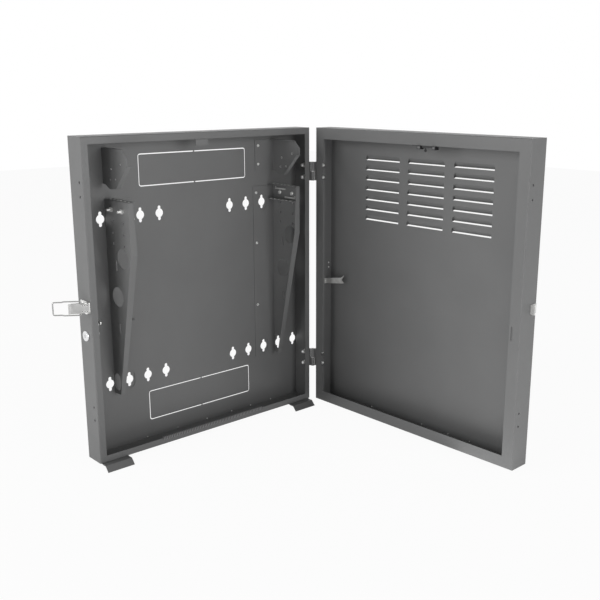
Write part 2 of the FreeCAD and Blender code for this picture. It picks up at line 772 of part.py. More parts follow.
# ---- one node for every physical piece -----------------------------------------------------
def make_nodes():
    rail_bracket = make_rail_bracket()
    rack_rail = make_rack_rail()
    support_bracket = make_support_bracket()
    foot = make_foot()
    rail_screws = make_rail_screws()
    rail_nuts = make_rail_nuts()
    nodes = {
        "rear_tray": make_rear_tray(),
        "rail_bracket_right": rail_bracket,
        "rail_bracket_left": mirror_x(rail_bracket),
        "rack_rail_right": rack_rail,
        "rack_rail_left": mirror_x(rack_rail),
        "rack_rail_screws": rail_screws + [mirror_x(screw) for screw in rail_screws],
        "rack_rail_nuts": rail_nuts + [mirror_x(nut) for nut in rail_nuts],
        "support_bracket_right": support_bracket,
        "support_bracket_left": mirror_x(support_bracket),
        "hinge_pins": make_hinge_pins(),
        "hinge_washers": make_hinge_washers(),
        "hinge_body_screws": make_hinge_screws(-hinge_screw_depth),
        "hinge_body_nuts": make_hinge_nuts(-hinge_screw_depth),
        "latch_base": make_latch_base(),
        "latch_pivot_pin": make_latch_pin(),
        "latch_lever": make_latch_lever(),
        "latch_bail": make_latch_bail(),
        "lock_barrel": make_lock_barrel(),
        "lock_nut": make_lock_nut(),
        "lock_plug": make_lock_plug(),
        "lock_cam": make_lock_cam(),
        "lock_cam_screw": make_lock_screw(),
        "foot_right": foot,
        "foot_left": mirror_x(foot),
        "flange_edging": make_flange_edging(),
        "catch_strike": make_catch_strike(),
    }
    door_nodes = {
        "door_shell": make_door_shell(),
        "latch_keeper": make_keeper(),
        "door_catch": make_door_catch(),
        "catch_magnets": make_catch_magnets(),
        "cable_hook": make_cable_hook(),
        "hinge_door_screws": make_hinge_screws(door_hinge_screw_y()),
        "hinge_door_nuts": make_hinge_nuts(door_hinge_screw_y()),
    }
    for name, middle in zip(("upper", "lower"), hinge_heights):
        nodes["hinge_" + name + "_body_leaf"] = make_hinge_leaf(middle, 1, hinge_pin_radius)
        door_nodes["hinge_" + name + "_door_leaf"] = make_hinge_leaf(middle, -1,
                                                                     hinge_pin_radius + 0.05)
    for name, shape in door_nodes.items():
        solids = shape if isinstance(shape, list) else [shape]
        nodes[name] = [opened(solid) for solid in solids]
    return nodes


def main():
    os.makedirs("parts", exist_ok=True)
    for name, shape in make_nodes().items():
        solids = shape if isinstance(shape, list) else [shape]
        pieces = [piece for solid in solids for piece in solid.Solids]
        result = pieces[0] if len(pieces) == 1 else Part.makeCompound(pieces)
        if not result.isValid():
            print("not valid:", name)
        result.exportStep(os.path.join("parts", name + ".step"))
        print(name, len(pieces), round(result.Volume))


main()
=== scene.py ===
"""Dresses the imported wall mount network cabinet: finishes, small hardware, studio and camera.

The hardware is drawn in millimetres in the CAD frame: origin at the middle of the wall face, X
right, Z up, the front towards -Y. What the front tray carries is placed on the closed tray and
then swung to the open resting pose. The studio is in metres.
"""

import json
import math

import bmesh
import bpy
from mathutils import Matrix, Vector


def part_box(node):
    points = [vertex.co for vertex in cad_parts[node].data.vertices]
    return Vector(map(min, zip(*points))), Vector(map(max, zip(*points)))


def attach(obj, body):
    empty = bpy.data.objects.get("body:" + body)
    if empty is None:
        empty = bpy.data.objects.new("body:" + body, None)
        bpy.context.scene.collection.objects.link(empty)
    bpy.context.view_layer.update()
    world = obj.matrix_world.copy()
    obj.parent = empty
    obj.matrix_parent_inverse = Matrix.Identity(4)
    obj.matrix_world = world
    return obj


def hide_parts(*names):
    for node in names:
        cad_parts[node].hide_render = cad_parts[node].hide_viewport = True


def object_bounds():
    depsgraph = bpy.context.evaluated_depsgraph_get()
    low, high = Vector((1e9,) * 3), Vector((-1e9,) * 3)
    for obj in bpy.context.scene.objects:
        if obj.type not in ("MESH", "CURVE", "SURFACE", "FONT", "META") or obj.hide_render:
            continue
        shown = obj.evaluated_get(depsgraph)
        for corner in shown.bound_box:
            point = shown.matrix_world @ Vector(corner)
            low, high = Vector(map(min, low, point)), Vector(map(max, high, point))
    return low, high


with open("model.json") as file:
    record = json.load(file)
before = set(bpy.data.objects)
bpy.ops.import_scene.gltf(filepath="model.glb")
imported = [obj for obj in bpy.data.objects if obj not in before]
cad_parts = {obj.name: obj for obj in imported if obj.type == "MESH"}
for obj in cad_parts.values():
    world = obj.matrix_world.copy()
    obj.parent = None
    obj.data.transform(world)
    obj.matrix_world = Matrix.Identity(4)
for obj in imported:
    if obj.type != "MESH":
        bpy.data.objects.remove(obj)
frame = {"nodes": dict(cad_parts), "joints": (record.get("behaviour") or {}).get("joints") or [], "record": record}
cad_bounds = [[float(value) for value in corner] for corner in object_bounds()]

MM = 0.001
WHITE = (1.0, 1.0, 1.0, 1.0)
X_AXIS, Y_AXIS, Z_AXIS = Vector((1, 0, 0)), Vector((0, 1, 0)), Vector((0, 0, 1))
LEFTWARD, RIGHTWARD = (-1, 0, 0), (1, 0, 0)
OUTWARD, INWARD = (0, -1, 0), (0, 1, 0)
DOWNWARD, UPWARD = (0, 0, -1), (0, 0, 1)
AS_DRAWN = [((0, 0, 0), UPWARD)]


# ---- node helpers --------------------------------------------------------------------------
NOISE_LOW, NOISE_HIGH = 0.3, 0.7
NOISE_ROUGHNESS = 0.55
TONE_DETAIL, PATCH_DETAIL, RELIEF_DETAIL = 5, 4, 2
PATCH_FINENESS = 3.1
EVEN = (1, 1, 1)


def new_material(name):
    """Empty node material with its output; returns the material, tree and output node."""
    material = bpy.data.materials.new(name)
    material.use_nodes = True
    tree = material.node_tree
    tree.nodes.clear()
    output = tree.nodes.new("ShaderNodeOutputMaterial")
    return material, tree, output


def noise(tree, coordinates, scale, detail, stretch=EVEN):
    """Noise in object space, in features a metre, stretched along an axis where asked."""
    mapping = tree.nodes.new("ShaderNodeMapping")
    mapping.inputs["Scale"].default_value = stretch
    texture = tree.nodes.new("ShaderNodeTexNoise")
    texture.inputs["Scale"].default_value = scale
    texture.inputs["Detail"].default_value = detail
    texture.inputs["Roughness"].default_value = NOISE_ROUGHNESS
    tree.links.new(coordinates.outputs["Object"], mapping.inputs["Vector"])
    tree.links.new(mapping.outputs["Vector"], texture.inputs["Vector"])
    return texture.outputs["Fac"]


def ramp(tree, value, low, high):
    """Map a noise value to a colour between two RGB tones."""
    node = tree.nodes.new("ShaderNodeValToRGB")
    node.color_ramp.elements[0].position = NOISE_LOW
    node.color_ramp.elements[1].position = NOISE_HIGH
    node.color_ramp.elements[0].color = (*low, 1)
    node.color_ramp.elements[1].color = (*high, 1)
    tree.links.new(value, node.inputs["Fac"])
    return node.outputs["Color"]


def spread(tree, value, low, high):
    """Map a noise value to a number between two limits."""
    node = tree.nodes.new("ShaderNodeMapRange")
    node.inputs["From Min"].default_value = NOISE_LOW
    node.inputs["From Max"].default_value = NOISE_HIGH
    node.inputs["To Min"].default_value = low
    node.inputs["To Max"].default_value = high
    tree.links.new(value, node.inputs["Value"])
    return node.outputs["Result"]


def bump(tree, value, depth, strength, below):
    """Relief from a noise value, over the relief below it if there is one."""
    node = tree.nodes.new("ShaderNodeBump")
    node.inputs["Distance"].default_value = depth
    node.inputs["Strength"].default_value = strength
    tree.links.new(value, node.inputs["Height"])
    if below is not None:
        tree.links.new(below, node.inputs["Normal"])
    return node.outputs["Normal"]


def surface(name, tones, roughness, metallic, layers, tone_scale, specular=0.5):
    """Principled surface with mottled colour, uneven roughness and layers of fine relief.

    tones and roughness are each a low and a high value. A layer is (features a metre, depth in
    metres, strength, stretch by axis).
    """
    material, tree, output = new_material(name)
    coordinates = tree.nodes.new("ShaderNodeTexCoord")
    shader = tree.nodes.new("ShaderNodeBsdfPrincipled")
    shader.inputs["Metallic"].default_value = metallic
    shader.inputs["Specular IOR Level"].default_value = specular
    tone = noise(tree, coordinates, tone_scale, TONE_DETAIL)
    tree.links.new(ramp(tree, tone, *tones), shader.inputs["Base Color"])
    patch = noise(tree, coordinates, tone_scale * PATCH_FINENESS, PATCH_DETAIL)
    tree.links.new(spread(tree, patch, *roughness), shader.inputs["Roughness"])
    relief = None
    for scale, depth, strength, stretch in layers:
        height = noise(tree, coordinates, scale, RELIEF_DETAIL, stretch)
        relief = bump(tree, height, depth, strength, relief)
    tree.links.new(relief, shader.inputs["Normal"])
    tree.links.new(shader.outputs["BSDF"], output.inputs["Surface"])
    return material


# ---- finishes ------------------------------------------------------------------------------
def powder_coat():
    """Charcoal powder coat: faint orange peel over a finer sand texture."""
    return surface("powder_coat_finish",
                   tones=((0.131, 0.132, 0.132), (0.145, 0.146, 0.146)), roughness=(0.36, 0.44),
                   metallic=0.0, tone_scale=6, specular=0.4,
                   layers=[(420, 0.00022, 0.30, EVEN), (1900, 0.00007, 0.35, EVEN)])


def zinc_plate():
    """Bright zinc plating of the screws and the latch."""
    return surface("zinc_plate_finish",
                   tones=((0.66, 0.66, 0.645), (0.82, 0.82, 0.81)), roughness=(0.22, 0.38),
                   metallic=0.7, tone_scale=45,
                   layers=[(260, 0.00012, 0.15, EVEN), (2600, 0.00003, 0.2, EVEN)])


def zinc_painted_highlight():
    """Zinc plating of the cap nuts, whiter and less mirror-like than the plain zinc: the whiter tone is a painted
    highlight for nuts that sit in shade.
    """
    return surface("bright_zinc_finish",
                   tones=((0.80, 0.80, 0.79), (0.92, 0.92, 0.91)), roughness=(0.26, 0.40),
                   metallic=0.35, tone_scale=45, layers=[(260, 0.00012, 0.15, EVEN)])


def galvanised():
    """Dull galvanised sheet with a faint spangle."""
    return surface("galvanised_finish",
                   tones=((0.46, 0.46, 0.45), (0.60, 0.60, 0.59)), roughness=(0.40, 0.58),
                   metallic=0.35, tone_scale=70, layers=[(700, 0.00005, 0.2, EVEN)])


def satin_steel():
    """Drawn and tumbled steel with a grain along the height."""
    return surface("satin_steel_finish",
                   tones=((0.36, 0.36, 0.355), (0.46, 0.46, 0.455)), roughness=(0.34, 0.46),
                   metallic=0.6, tone_scale=60, layers=[(900, 0.00004, 0.25, (1, 1, 0.12))])


def wire_steel():
    """Nickel plated spring wire, darker than the zinc around it."""
    return surface("wire_steel_finish",
                   tones=((0.30, 0.30, 0.295), (0.40, 0.40, 0.395)), roughness=(0.20, 0.32),
                   metallic=0.75, tone_scale=60, layers=[(900, 0.00003, 0.2, EVEN)])


def chrome_plate():
    """Polished plating of the lock."""
    return surface("chrome_plate_finish",
                   tones=((0.78, 0.78, 0.79), (0.86, 0.86, 0.87)), roughness=(0.05, 0.11),
                   metallic=1.0, tone_scale=30, layers=[(180, 0.00004, 0.06, EVEN)])


def black_plastic():
    """Matt moulded plastic."""
    return surface("black_plastic_finish",
                   tones=((0.010, 0.010, 0.011), (0.018, 0.018, 0.019)), roughness=(0.45, 0.6),
                   metallic=0.0, tone_scale=20, layers=[(1500, 0.00008, 0.35, EVEN)])


def teeth_plastic_painted_highlight():
    """Moulded teeth of the grip edging, lighter than its black spine: partly the plastic's own grey, partly a
    painted highlight of the light on the teeth; a little lighter than the coat under them.
    """
    return surface("grey_plastic_finish",
                   tones=((0.22, 0.22, 0.222), (0.26, 0.26, 0.262)), roughness=(0.32, 0.45),
                   metallic=0.0, tone_scale=20, layers=[(1500, 0.00006, 0.3, EVEN)])


def dark_magnet():
    """Bare dark faces of the catch magnets."""
    return surface("magnet_finish",
                   tones=((0.10, 0.10, 0.102), (0.16, 0.16, 0.16)), roughness=(0.35, 0.5),
                   metallic=0.6, tone_scale=90, layers=[(1200, 0.00005, 0.3, EVEN)])


ZINC = zinc_plate()
CHROME = chrome_plate()
COAT = powder_coat()
BLACK = black_plastic()
GALVANISED = galvanised()
# A whiter copy of the zinc: a painted highlight for the cap nuts.
ZINC_PAINTED_HIGHLIGHT = zinc_painted_highlight()
SLOT_FINISH = {"powder_coat": COAT, "zinc": ZINC, "chrome": CHROME, "black_plastic": BLACK}
NODE_FINISH = {
    "latch_lever": satin_steel(),
    "catch_magnets": dark_magnet(),
    "cable_hook": GALVANISED,
    "latch_keeper": GALVANISED,
}


def dress_cad_nodes():
    """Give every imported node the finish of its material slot, or its own where it has one."""
    slots = {part["node"]: part["material_slot"] for part in frame["record"]["subparts"]}
    for name, node in frame["nodes"].items():
        finish = NODE_FINISH.get(name, SLOT_FINISH[slots[name]])
        if not node.material_slots:
            node.data.materials.append(finish)
        for slot in node.material_slots:
            slot.material = finish


# ---- shapes, drawn in millimetres ----------------------------------------------------------
# A shape is a function that adds its faces to a mesh, placed by a matrix.
ROUND_SIDES = 20
THREAD_SIDES = 16
SMALL_SIDES = 18
WIRE_SIDES = 14
HEXAGON = 6
WELD_GAP = 1e-6
SHARP_ANGLE = 32
WIRE_SHARP_ANGLE = 50


def facing(point, axis):
    """Matrix that puts a shape drawn about Z at a point, its Z along the axis, in metres."""
    turn = Z_AXIS.rotation_difference(Vector(axis)).to_matrix().to_4x4()
    return Matrix.Scale(MM, 4) @ Matrix.Translation(Vector(point)) @ turn


def circle(radius, sides):
    """Points of a circle about the origin, as (x, y) pairs."""
    return [(radius * math.cos(2 * math.pi * i / sides), radius * math.sin(2 * math.pi * i / sides))
            for i in range(sides)]


def turned(profile, sides=ROUND_SIDES):
    """Shape made by turning a profile of (radius, height) pairs about Z."""
    def add(mesh, matrix):
        rings = []
        for radius, height in profile:
            ring = circle(radius, sides) if radius > 0 else [(0, 0)]
            rings.append([mesh.verts.new(matrix @ Vector((x, y, height))) for x, y in ring])
        for low, high in zip(rings, rings[1:]):
            for i in range(sides):
                j = (i + 1) % sides
                corners = dict.fromkeys((low[i % len(low)], low[j % len(low)],
                                         high[j % len(high)], high[i % len(high)]))
                mesh.faces.new(list(corners))
    return add


def box(x0, x1, y0, y1, z0, z1):
    """Plain block between limits."""
    def add(mesh, matrix):
        corners = [mesh.verts.new(matrix @ Vector((x, y, z)))
                   for x in (x0, x1) for y in (y0, y1) for z in (z0, z1)]
        for face in ((0, 1, 3, 2), (4, 6, 7, 5), (0, 4, 5, 1), (2, 3, 7, 6), (0, 2, 6, 4),
                     (1, 5, 7, 3)):
            mesh.faces.new([corners[i] for i in face])
    return add


def profile_x(outline, x0, x1):
    """Outline in Y and Z, drawn out along X."""
    def add(mesh, matrix):
        near, far = [[mesh.verts.new(matrix @ Vector((x, y, z))) for y, z in outline]
                     for x in (x0, x1)]
        mesh.faces.new(near)
        mesh.faces.new(far)
        for i in range(len(outline)):
            j = (i + 1) % len(outline)
            mesh.faces.new((near[i], near[j], far[j], far[i]))
    return add


def cross_face(radius, height, arm, width, depth):
    """Flat disc at a height with a cross recess pressed into it."""
    narrowing = 0.7
    near = width / 2
    outline = [(arm, near), (near, near), (near, arm), (-near, arm), (-near, near), (-arm, near),
               (-arm, -near), (-near, -near), (-near, -arm), (near, -arm), (near, -near),
               (arm, -near)]

    def add(mesh, matrix):
        rim = [mesh.verts.new(matrix @ Vector((x, y, height)))
               for x, y in circle(radius, ROUND_SIDES)]
        upper = [mesh.verts.new(matrix @ Vector((x, y, height))) for x, y in outline]
        lower = [mesh.verts.new(matrix @ Vector((x * narrowing, y * narrowing, height - depth)))
                 for x, y in outline]
        edges = [mesh.edges.new((loop[i], loop[(i + 1) % len(loop)]))
                 for loop in (rim, upper) for i in range(len(loop))]
        bmesh.ops.triangle_fill(mesh, use_beauty=True, use_dissolve=False, edges=edges)
        for i in range(len(outline)):
            j = (i + 1) % len(outline)
            mesh.faces.new((upper[i], upper[j], lower[j], lower[i]))
        mesh.faces.new(lower)
    return add


def pan_head(radius, height):
    """Pan head with a cross recess, its seat at height zero."""
    flat = 0.66 * radius
    return [turned([(0, 0), (radius, 0), (radius, 0.4 * height), (0.94 * radius, 0.72 * height),
                    (0.80 * radius, 0.93 * height), (flat, height)]),
            cross_face(flat, height, arm=0.5 * radius, width=0.26 * radius, depth=0.5 * height)]


def threaded(radius, length, pitch=1.0):
    """Threaded shank drawn as close ridges, from its head down to minus its length."""
    root = 0.86 * radius
    turns = int(length / pitch)
    profile = [(0, 0)]
    for i in range(turns):
        profile += [(root, -pitch * i), (radius, -pitch * (i + 0.5))]
    return turned(profile + [(root, -pitch * turns), (0, -pitch * turns)], THREAD_SIDES)


def rivet(radius, height):
    """Low domed rivet head."""
    return turned([(0, 0), (radius, 0), (0.94 * radius, 0.45 * height),
                   (0.7 * radius, 0.82 * height), (0.35 * radius, 0.98 * height), (0, height)],
                  SMALL_SIDES)


def eyelet(inner, outer, height, sides=SMALL_SIDES):
    """Low ring with a square section."""
    return turned([(inner, 0), (outer, 0), (outer, height), (inner, height), (inner, 0)], sides)


def acorn(across, thickness, dome):
    """Cap nut: chamfered hexagon with a round dome."""
    chamfer = 0.6
    corner = across / math.sqrt(3)
    radius = across * 0.44
    top = thickness + dome
    arc = [(radius * math.cos(math.radians(t)), top - radius + radius * math.sin(math.radians(t)))
           for t in range(0, 90, 15)]
    return [turned([(0, 0), (corner * 0.93, 0), (corner, chamfer), (corner, thickness - chamfer),
                    (corner * 0.9, thickness), (0, thickness)], HEXAGON),
            turned([(0, thickness - 1), (radius, thickness - 1)] + arc + [(0, top)])]


def rounded(path, reach, steps=6):
    """Path whose inner corners turn in short arcs."""
    points = [path[0]]
    for before, corner, after in zip(path, path[1:], path[2:]):
        back, on = before - corner, after - corner
        length = min(reach, back.length / 2, on.length / 2)
        start, end = corner + back.normalized() * length, corner + on.normalized() * length
        for i in range(steps + 1):
            t = i / steps
            points.append(start * (1 - t) ** 2 + corner * 2 * t * (1 - t) + end * t * t)
    return points + [path[-1]]


def wire(path, normal, radius):
    """Round wire along a flat path; normal is square to the path's plane."""
    def add(mesh, matrix):
        rings = []
        for i, point in enumerate(path):
            along = (path[min(i + 1, len(path) - 1)] - path[max(i - 1, 0)]).normalized()
            across = along.cross(normal)
            rings.append([mesh.verts.new(matrix @ (point + normal * x + across * y))
                          for x, y in circle(radius, WIRE_SIDES)])
        for low, high in zip(rings, rings[1:]):
            for k in range(WIRE_SIDES):
                m = (k + 1) % WIRE_SIDES
                mesh.faces.new((low[k], low[m], high[m], high[k]))
        mesh.faces.new(rings[0])
        mesh.faces.new(rings[-1])
    return add


def piece(name, shapes, places, finish, body, sharp=SHARP_ANGLE):
    """One piece made of the same shapes at every place, fixed to a body.

    A place is (point, axis). Edges steeper than the sharp angle, in degrees, stay sharp.
    """
    mesh = bmesh.new()
    for point, axis in places:
        for shape in shapes:
            shape(mesh, facing(point, axis))
    bmesh.ops.remove_doubles(mesh, verts=mesh.verts, dist=WELD_GAP)
    bmesh.ops.recalc_face_normals(mesh, faces=mesh.faces)
    data = bpy.data.meshes.new(name)
    mesh.to_mesh(data)
    mesh.free()
    data.polygons.foreach_set("use_smooth", [True] * len(data.polygons))
    data.set_sharp_from_angle(angle=math.radians(sharp))
    data.materials.append(finish)
    thing = bpy.data.objects.new(name, data)
    bpy.context.scene.collection.objects.link(thing)
    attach(thing, body)
    return thing


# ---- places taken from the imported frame, millimetres ---------------------------------------
def node_corners(node):
    """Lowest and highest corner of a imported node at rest."""
    return [Vector([round(value / MM, 2) for value in corner]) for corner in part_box(node)]


def middle(node):
    """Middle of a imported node's box at rest."""
    low, high = node_corners(node)
    return (low + high) / 2


JOINTS = {joint["name"]: joint for joint in frame["joints"]}
MOUNTS = {mount["name"]: mount for mount in frame["record"]["mounts"]}


def joint_place(name):
    """Point that a joint turns about."""
    return Vector([value / MM for value in JOINTS[name]["pos_m"]])


def turn_from_start(name):
    """Rotation about Z from a joint's lower limit to its resting pose."""
    return Matrix.Rotation(math.radians(-JOINTS[name]["range_deg"][0]), 3, "Z")


SHEET = 1.5
FLANGE = 16.0
TRAY_GAP = 5.0
TRAY_LOW, TRAY_HIGH = node_corners("rear_tray")
HALF_WIDTH, WALL_TOP, TRAY_RIM = TRAY_HIGH.x, TRAY_HIGH.z, TRAY_LOW.y
DOOR_PLANE = TRAY_RIM - TRAY_GAP
HINGE = joint_place("door_swing")
OPEN = turn_from_start("door_swing")
LATCH_Z = middle("latch_base").z
LATCH_PIVOT = joint_place("latch_lever") + LATCH_Z * Z_AXIS
LEVER_OPEN = turn_from_start("latch_lever")


def still(x, y, z):
    """Point of the rear tray, which stays where it is."""
    return Vector((x, y, z))


def swung(x, y, z):
    """Point of the closed front tray, moved to the open resting pose."""
    return HINGE + OPEN @ (Vector((x, y, z)) - HINGE)


def on_door(a, b, z):
    """Point a from the hinge-side wall and b out from the rim of the front tray, at rest."""
    return swung(HALF_WIDTH - a, DOOR_PLANE - b, z)


def on_lever(x, y, z):
    """Point of the flat latch lever, moved to the released resting pose."""
    return LATCH_PIVOT + LEVER_OPEN @ (Vector((x, y, z)) - LATCH_PIVOT)


def mirrored(points, axis):
    """The points and their mirror images in X, each with its axis."""
    x, y, z = axis
    return [(point, axis) for point in points] \
        + [((-px, py, pz), (-x, y, z)) for px, py, pz in points]


# ---- small hardware ------------------------------------------------------------------------
def add_hinge_hardware():
    """Domed cap nuts inside the walls and cross-head screws on the hinge leaves."""
    screw_offset, leaf = 15.5, 2.0
    heights = [middle(node).z + offset
               for node in ("hinge_upper_body_leaf", "hinge_lower_body_leaf")
               for offset in (screw_offset, -screw_offset)]
    body_y = middle("hinge_body_nuts").y
    door_y = 2 * HINGE.y - body_y
    for body, y, move, inward, nuts, screws in (
            ("root", body_y, still, -X_AXIS, "hinge_body_nuts", "hinge_body_screws"),
            ("door", door_y, swung, OPEN @ -X_AXIS, "hinge_door_nuts", "hinge_door_screws")):
        # The cap nuts take the whiter zinc, a painted highlight where they sit in shade.
        nut = piece(nuts + "_domed", acorn(across=11, thickness=5, dome=9),
                    [(move(HALF_WIDTH - SHEET, y, z), inward) for z in heights],
                    ZINC_PAINTED_HIGHLIGHT, body)
        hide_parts(nuts)
        screw = piece(screws + "_cross_head",
                      pan_head(radius=5.0, height=2.8) + [threaded(radius=3.0, length=8)],
                      [(move(HALF_WIDTH + leaf, y, z), -inward) for z in heights],
                      ZINC, body)
        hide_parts(screws)


def add_rail_hardware():
    """Rail screws with threaded tails, and bright marks on the rails: zinc rings in the tapped rack holes, which
    also paint the glint on the hole edges, zinc blocks on the lower flanges as painted glints, and galvanised
    strips in the rail slots as painted highlights of the slot edges.
    """
    rail_low, rail_high = node_corners("rack_rail_right")
    screw_height, screw_depths = 206, (-33, -80)
    screws = piece("rack_rail_screws_cross_head",
                   pan_head(radius=5.5, height=3.2) + [threaded(radius=2.9, length=16)],
                   mirrored([(rail_high.x - SHEET, y, screw_height) for y in screw_depths],
                            LEFTWARD), ZINC, "root")
    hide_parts("rack_rail_screws")

    half_spacing = MOUNTS["rack_2u_outer"]["dims"]["spacing_x_mm"] / 2
    rack_unit, hole_steps, first_hole = 44.45, (0.0, 15.875, 31.75), -15.5
    depths = [first_hole - unit * rack_unit - step for unit in (0, 1) for step in hole_steps]
    thread_height = rail_high.z - 1.7
    # Zinc rings in the rack holes: their threads, and a painted glint on the hole edges.
    piece("rack_hole_threads_and_glints", [eyelet(inner=2.0, outer=2.55, height=2.0)],
          mirrored([(half_spacing, y, thread_height) for y in depths], UPWARD),
          ZINC, "root")
    # Zinc blocks along the lower flange: painted glints.
    half_glint_block, glint_block_height, glint_block_x = 2.6, 0.8, rail_low.x + 1.7
    piece("rail_lower_painted_glints", [box(-half_glint_block, half_glint_block, -half_glint_block, half_glint_block, 0, glint_block_height)],
          mirrored([(glint_block_x, y, rail_low.z + SHEET) for y in depths], UPWARD),
          ZINC, "root")

    # Galvanised strips in the slots: painted highlights of the slot edges.
    half_strip, half_width, half_height, tick_height = 20.5, 1.2, 1.8, 5
    strip_x = rail_high.x - 1.9
    for name, y, z, tick in (("upper", -34.8, 215.0, 18.5), ("lower", -73.0, 195.0, -18.5)):
        strip = [box(-half_width, half_width, -half_strip, half_strip, -half_height, half_height),
                 box(-half_width, half_width, tick - half_width, tick + half_width, 0, tick_height)]
        piece("rail_slot_highlight_strip_" + name, strip,
              [((sign * strip_x, y, z), UPWARD) for sign in (-1, 1)], GALVANISED, "root")


def add_bracket_screws():
    """Zinc screws on the right brackets and coat-coloured ones on the left brackets."""
    rail_x, rail_heights = 184.5, (206.0, 76.7)
    support_x, support_heights = 193.0, (323.7, 277.6)
    seat = -2 * SHEET
    for name, sign, lowest, finish, slot in (("right", 1, -87.5, ZINC, "zinc"),
                                             ("left", -1, -60.0, COAT, "powder_coat")):
        points = [(sign * rail_x, seat, z) for z in (*rail_heights, lowest)] \
            + [(sign * support_x, seat, z) for z in support_heights]
        piece("bracket_screws_" + name, pan_head(radius=3.6, height=2.0),
              [(point, OUTWARD) for point in points], finish, "root")


def add_support_eyelets():
    """Bright rims of the holes in the support brackets' plates."""
    plate_x = 240.4
    holes = [(plate_x, y, z)
             for y, z in ((-39, 293.8), (-78.7, 305.6), (-34.8, 270.7), (-56, 272.9))]
    piece("support_bracket_eyelets", [eyelet(inner=1.7, outer=2.5, height=0.9, sides=16)],
          mirrored(holes, LEFTWARD), ZINC, "root")


def add_foot_screws():
    """Two painted screws up through each foot."""
    depth, foot_sheet = -30, 2
    points = [(x, depth, -WALL_TOP - foot_sheet) for x in (262, 300)]
    piece("foot_screws", pan_head(radius=4.4, height=1.8), mirrored(points, DOWNWARD),
          COAT, "root")


def add_bail():
    """Round wire bail: turned-in ends in the lever, two legs and a cross bar."""
    x, pivot_y = LATCH_PIVOT.x, LATCH_PIVOT.y
    eye, length, knee_share, knee_run = 11.0, 59.5, 0.62, 3.0
    end, near, far = 8.6, 15.5, 14.3
    wire_radius, corner_reach = 1.45, 4.0
    seat = pivot_y + eye
    bar, knee = seat + length, seat + length * knee_share
    half = [(seat, end), (seat, near), (knee, near), (knee + knee_run, far), (bar, far)]
    path = [(y, -reach) for y, reach in half] + [(y, reach) for y, reach in reversed(half)]
    path = [on_lever(x, y, LATCH_Z + z) for y, z in path]
    bail = piece("latch_bail_round",
                 [wire(rounded(path, corner_reach), LEVER_OPEN @ X_AXIS, wire_radius)],
                 AS_DRAWN, wire_steel(), "bail", sharp=WIRE_SHARP_ANGLE)
    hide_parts("latch_bail")


def add_latch_rivets():
    """Eyelets on the lever with black discs in them, painted shade where holes would be, and the rivets of the
    latch base and keeper.
    """
    hole_radius, shade_disc_thickness = 1.3, 0.15
    lever_face, column_offsets, row_offset = 3.6, (-2.5, 2.5, 7.5), 6.6
    holes = [(on_lever(LATCH_PIVOT.x - lever_face, LATCH_PIVOT.y + y, LATCH_Z + z),
              LEVER_OPEN @ -X_AXIS) for y in column_offsets for z in (-row_offset, row_offset)]
    piece("latch_lever_eyelets", [eyelet(inner=hole_radius, outer=2.1, height=0.5)], holes,
          ZINC, "lever")
    # Black discs in the eyelets: painted shade of holes through the lever.
    disc = turned([(0, 0), (hole_radius, 0), (hole_radius, shade_disc_thickness), (0, shade_disc_thickness)],
                  SMALL_SIDES)
    piece("latch_lever_painted_hole_shade", [disc], holes, BLACK, "lever")

    base_face, base_offset = -HALF_WIDTH - 2, 7
    base = [((base_face, y, LATCH_Z + z), LEFTWARD)
            for y in (-44, -25) for z in (-base_offset, base_offset)]
    piece("latch_base_rivets", [rivet(radius=2.2, height=0.9)], base, ZINC, "root")

    keeper_face, keeper_depth, keeper_offset = 2 * HALF_WIDTH + SHEET, 48, 6.5
    keeper = [(on_door(keeper_face, keeper_depth, LATCH_Z + z), OPEN @ -X_AXIS)
              for z in (-keeper_offset, keeper_offset)]
    piece("keeper_rivets", [rivet(radius=2.0, height=0.8)], keeper, ZINC, "door")


def add_lock_barrel():
    """Smooth lock barrel with a rounded collar and a threaded body."""
    bore, crest, root, pitch, turns = 6.06, 9.5, 8.9, 1.4, 12
    face, end = -4.8, 19
    ridges = []
    for i in range(turns):
        ridges += [(crest, 1.6 + pitch * i), (root, 2.3 + pitch * i)]
    collar = [(bore, face), (10.0, face), (11.2, -4.3), (11.9, -3.2), (12.0, -1.5), (12.0, 0)]
    profile = collar + [(crest, 0)] + ridges + [(root, end), (bore, end), (bore, face)]
    barrel = piece("lock_barrel_smooth", [turned(profile, sides=40)],
                   [(joint_place("lock_turn"), RIGHTWARD)], CHROME, "root")
    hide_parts("lock_barrel")


def over_flange(front, rear, reach, back):
    """Section of a grip over the lower flange: lips in front and behind, their reach, its back."""
    edge = FLANGE - WALL_TOP
    outside, inside = TRAY_RIM, TRAY_RIM + SHEET
    return [(outside - front, edge - reach), (outside, edge - reach), (outside, edge),
            (inside, edge), (inside, edge - reach), (inside + rear, edge - reach),
            (inside + rear, edge + back), (outside - front, edge + back)]


def add_edging():
    """Toothed grip edging over the lower flange of the rear tray."""
    low, high = node_corners("flange_edging")
    start, end = low.x, high.x
    pitch, tooth_width, count = 4.76, 2.3, 64
    channel = over_flange(front=1.2, rear=1.2, reach=4.2, back=1.5)
    spine = piece("flange_edging_spine", [profile_x(channel, start, end)], AS_DRAWN,
                  BLACK, "root")
    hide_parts("flange_edging")
    tooth = over_flange(front=1.9, rear=1.6, reach=4.5, back=3)
    # The teeth take a lighter plastic than the spine, partly a painted highlight.
    piece("flange_edging_teeth", [profile_x(tooth, 0, tooth_width)],
          [((start + pitch * i, 0, 0), UPWARD) for i in range(count)], teeth_plastic_painted_highlight(),
          "root")


